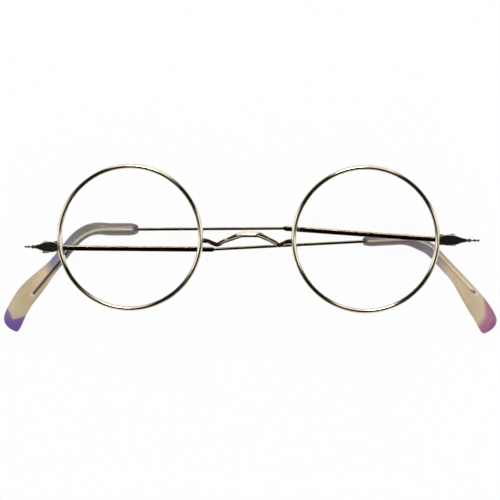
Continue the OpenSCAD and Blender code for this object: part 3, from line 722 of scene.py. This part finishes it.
def tip_sleeve(side):
    """An oval tube over the wire: its outer skin runs from the tip to a rounded mouth, and its bore from
    there to a blind end. Its underside is flat where it rests."""
    t = SIDES[side]
    start = t["sleeve"]
    bend_at, drop_at, tip_at, end_at = stations(side)
    mouth_q = start + MOUTH_LEN * (1 - np.cos(np.radians(np.linspace(4, 90, 18))))
    tip_q = end_at - ROUND_LEN * (1 - np.sin(np.radians(np.linspace(0.5, 89.6, 26))))
    q = np.concatenate([mouth_q,
                        np.linspace(start + MOUTH_LEN + 0.5, bend_at - 0.3, 16),
                        np.linspace(bend_at, drop_at, 40),
                        np.linspace(drop_at + 0.5, end_at - ROUND_LEN - 0.4, 56),
                        tip_q])
    half, thick, lean = sleeve_shape(side, q)
    f = np.clip((q - start) / MOUTH_LEN, 0, 1)
    mouth = 1 - (1 - MOUTH_SHARE) * (1 - np.sqrt(1 - (1 - f) ** 2))
    outer = around(temple_line(side, q), half * mouth, thick * mouth, SLEEVE_POINTS, lean, SLEEVE_POWER)
    bore_q = np.concatenate([[start + 0.01],
                             np.linspace(start + 0.1, bend_at, 20),
                             np.linspace(bend_at + 0.3, drop_at, 30),
                             np.linspace(drop_at + 0.5, tip_at - 1, 20)])
    bore_r = np.where(bore_q < start + 0.05, BORE_R + BORE_FLARE, BORE_R)
    rings = np.concatenate([outer[::-1], around(temple_line(side, bore_q), bore_r, bore_r, SLEEVE_POINTS)])
    rings[..., 2] = np.maximum(rings[..., 2], FLOOR_Z)
    turn = full_turn(SLEEVE_POINTS)
    bare = np.zeros((len(bore_q), SLEEVE_POINTS))
    marks = {key: np.concatenate([value[::-1], bare])
             for key, value in sleeve_painted_light(side, q, half * mouth, lean, turn).items()}
    along = (np.concatenate([q[::-1], bore_q]) - start) / (end_at - start)
    even, skew = t["border"]
    marks["along"] = along[:, None] + even * np.abs(np.cos(turn)) + skew * np.cos(turn)
    return skin(side + "_smoky_sleeve", rings, t["body"], SMOKE[side], t["sign"],
                stands_for=[side + "_tip_sleeve"], marks=marks)


for each in SIDES:
    rim(each)
    lens(each)
    lock_barrel(each, "upper")
    lock_barrel(each, "lower")
    endpiece(each)
    finial(each)
    temple(each)
    tip_sleeve(each)
bridge()

# The hinge leaves wear the same painted-dark metal
CARRIED_OVER = {"lock_screw": STEEL, "hinge_screw": STEEL, "front_hinge_leaf": PAINTED_DARK_METAL,
                "temple_hinge_leaf": PAINTED_DARK_METAL}
for part, finish in CARRIED_OVER.items():
    for each in SIDES:
        node = frame["nodes"][f"{each}_{part}"]
        node.data.materials.clear()
        node.data.materials.append(finish)


# Floor, light and camera

def seen_directly(tree):
    """1 for rays from the eye, from polished metal and through glass, else 0."""
    ray = new_node(tree, "LightPath").outputs
    eye_or_metal = calc(tree, "MAXIMUM", ray["Is Camera Ray"], ray["Is Glossy Ray"])
    return calc(tree, "MAXIMUM", eye_or_metal, ray["Is Transmission Ray"])


TABLE_REACH, TABLE_WHITE, TABLE_CLEAR = 3.0, (0.93, 0.93, 0.93, 1), 0.94


def floor():
    """A plain white table, matt to the light that it scatters back. To the eye it is mostly a clear sheet
    over the white of the world, with a faint shadow, so that the temples still show where they open down
    through it."""
    corners = [(x * TABLE_REACH, y * TABLE_REACH, 0) for x, y in ((-1, -1), (1, -1), (1, 1), (-1, 1))]
    mesh = bpy.data.meshes.new("table")
    mesh.from_pydata(corners, [], [(0, 1, 2, 3)])
    made = bpy.data.materials.new("white_table")
    made.use_nodes = True
    tree = made.node_tree
    tree.nodes.clear()
    paint, through = new_node(tree, "BsdfDiffuse", Color=TABLE_WHITE), new_node(tree, "BsdfTransparent")
    mix, out = new_node(tree, "MixShader"), new_node(tree, "OutputMaterial")
    tree.links.new(calc(tree, "MULTIPLY", seen_directly(tree), TABLE_CLEAR), mix.inputs["Fac"])
    tree.links.new(paint.outputs[0], mix.inputs[1])
    tree.links.new(through.outputs[0], mix.inputs[2])
    tree.links.new(mix.outputs[0], out.inputs["Surface"])
    mesh.materials.append(made)
    table = bpy.data.objects.new("table", mesh)
    bpy.context.scene.collection.objects.link(table)


# The studio's levels of light, and the borders of its parts: a box's sides on the squared cosine of twice
# the heading, the half toward +Y on a direction's Y, and the others on minus its Z
EVEN, BOX_LEVEL, ROOM_LEVEL = 0.85, 1.15, 0.008
BOX_SIDES, UPPER_HALF = (0.2, 0.6), (-0.1, 0.03)
OVERHEAD_GAP, LOW_BAND, TABLE_EDGE = (-0.972, -0.93), (-0.3, -0.05), (-0.01, 0.01)
POLISHED_DEPTH = 0.5


def world():
    """Soft studio light: even and pale for matt surfaces; plain white to the eye and through glass; and
    in polished metal the white table below, and above it a dark room with four pale softboxes on the X
    and Y axes and a dark gap overhead. Toward -Y the boxes reach up from the table only through a low
    band."""
    studio = bpy.data.worlds.new("studio")
    bpy.context.scene.world = studio
    studio.use_nodes = True
    tree = studio.node_tree
    tree.nodes.clear()

    def sum_of(operation, a, b):
        return calc(tree, operation, a, b)

    def step(value, borders):
        return spread(tree, value, 0, 1, *borders, kind="SMOOTHSTEP")

    axes = new_node(tree, "SeparateXYZ")
    tree.links.new(new_node(tree, "TexCoord").outputs["Generated"], axes.inputs[0])
    x, y, z = axes.outputs
    xx, yy, down = sum_of("MULTIPLY", x, x), sum_of("MULTIPLY", y, y), sum_of("MULTIPLY", z, -1)
    across = sum_of("ADD", sum_of("ADD", xx, yy), 1e-6)
    cos2 = sum_of("DIVIDE", sum_of("SUBTRACT", xx, yy), across)
    sides = step(sum_of("MULTIPLY", cos2, cos2), BOX_SIDES)
    reach = sum_of("MAXIMUM", step(y, UPPER_HALF), step(down, LOW_BAND))
    boxes = sum_of("MULTIPLY", sum_of("MULTIPLY", sides, step(down, OVERHEAD_GAP)), reach)
    room = sum_of("ADD", sum_of("MULTIPLY", boxes, BOX_LEVEL), ROOM_LEVEL)
    table = step(down, TABLE_EDGE)
    mirrored = sum_of("ADD", sum_of("MULTIPLY", room, sum_of("SUBTRACT", 1, table)), table)
    ray = new_node(tree, "LightPath").outputs
    glossy = sum_of("MULTIPLY", ray["Is Glossy Ray"],
                    sum_of("GREATER_THAN", ray["Glossy Depth"], POLISHED_DEPTH))
    plain = sum_of("ADD", sum_of("MULTIPLY", seen_directly(tree), 1 - EVEN), EVEN)
    level = sum_of("ADD", sum_of("MULTIPLY", mirrored, glossy),
                   sum_of("MULTIPLY", plain, sum_of("SUBTRACT", 1, glossy)))
    light, out = new_node(tree, "Background", Color=(1, 1, 1, 1)), new_node(tree, "OutputWorld")
    tree.links.new(level, light.inputs["Strength"])
    tree.links.new(light.outputs[0], out.inputs["Surface"])


LAMP_AT, LAMP_SIZE, LAMP_POWER = (-0.06, 0.44, 0.7), 0.2, 1.2
LAMP_TURN = (math.radians(-32), 0, math.radians(8))


def key_light():
    """One round lamp above and past the picture's upper edge, turned to the glasses, for form and a faint
    shadow. It is also the white oval on the bridge's crest."""
    data = bpy.data.lights.new("key", "AREA")
    data.shape, data.size, data.energy = "DISK", LAMP_SIZE, LAMP_POWER
    lamp = bpy.data.objects.new("key", data)
    lamp.location = LAMP_AT
    lamp.rotation_euler = LAMP_TURN
    bpy.context.scene.collection.objects.link(lamp)


CAMERA_TURN, CAMERA_ROLL, CAMERA_AWAY = math.radians(3.6), math.radians(0.49), 520
MM_PER_PIXEL, IMAGE, SENSOR = 0.2905, 500, 36
FRONT_IN_PHOTO = (247.2, 238.3)


def camera():
    """Straight above the front, turned a few degrees to the right, with the front's middle where the
    photo has it."""
    data = bpy.data.cameras.new("camera")
    data.sensor_width = SENSOR
    data.lens = SENSOR * CAMERA_AWAY / MM_PER_PIXEL / IMAGE
    data.clip_start, data.clip_end = 0.01, 20
    back = np.array([math.sin(CAMERA_TURN), 0, math.cos(CAMERA_TURN)])
    right = np.array([math.cos(CAMERA_TURN), 0, -math.sin(CAMERA_TURN)])
    up = np.array([0, 1.0, 0])
    x = math.cos(CAMERA_ROLL) * right + math.sin(CAMERA_ROLL) * up
    y = -math.sin(CAMERA_ROLL) * right + math.cos(CAMERA_ROLL) * up
    dx = (IMAGE / 2 - FRONT_IN_PHOTO[0]) * MM_PER_PIXEL
    dy = (FRONT_IN_PHOTO[1] - IMAGE / 2) * MM_PER_PIXEL
    at = (FRONT_AT + x * dx + y * dy + back * CAMERA_AWAY) * MM
    turned_to = np.column_stack([x, y, back, at])
    cam = bpy.data.objects.new("camera", data)
    cam.matrix_world = Matrix([*turned_to.tolist(), [0, 0, 0, 1]])
    bpy.context.scene.collection.objects.link(cam)
    bpy.context.scene.camera = cam


floor()
world()
key_light()
camera()
bpy.context.scene.view_settings.view_transform = "Standard"
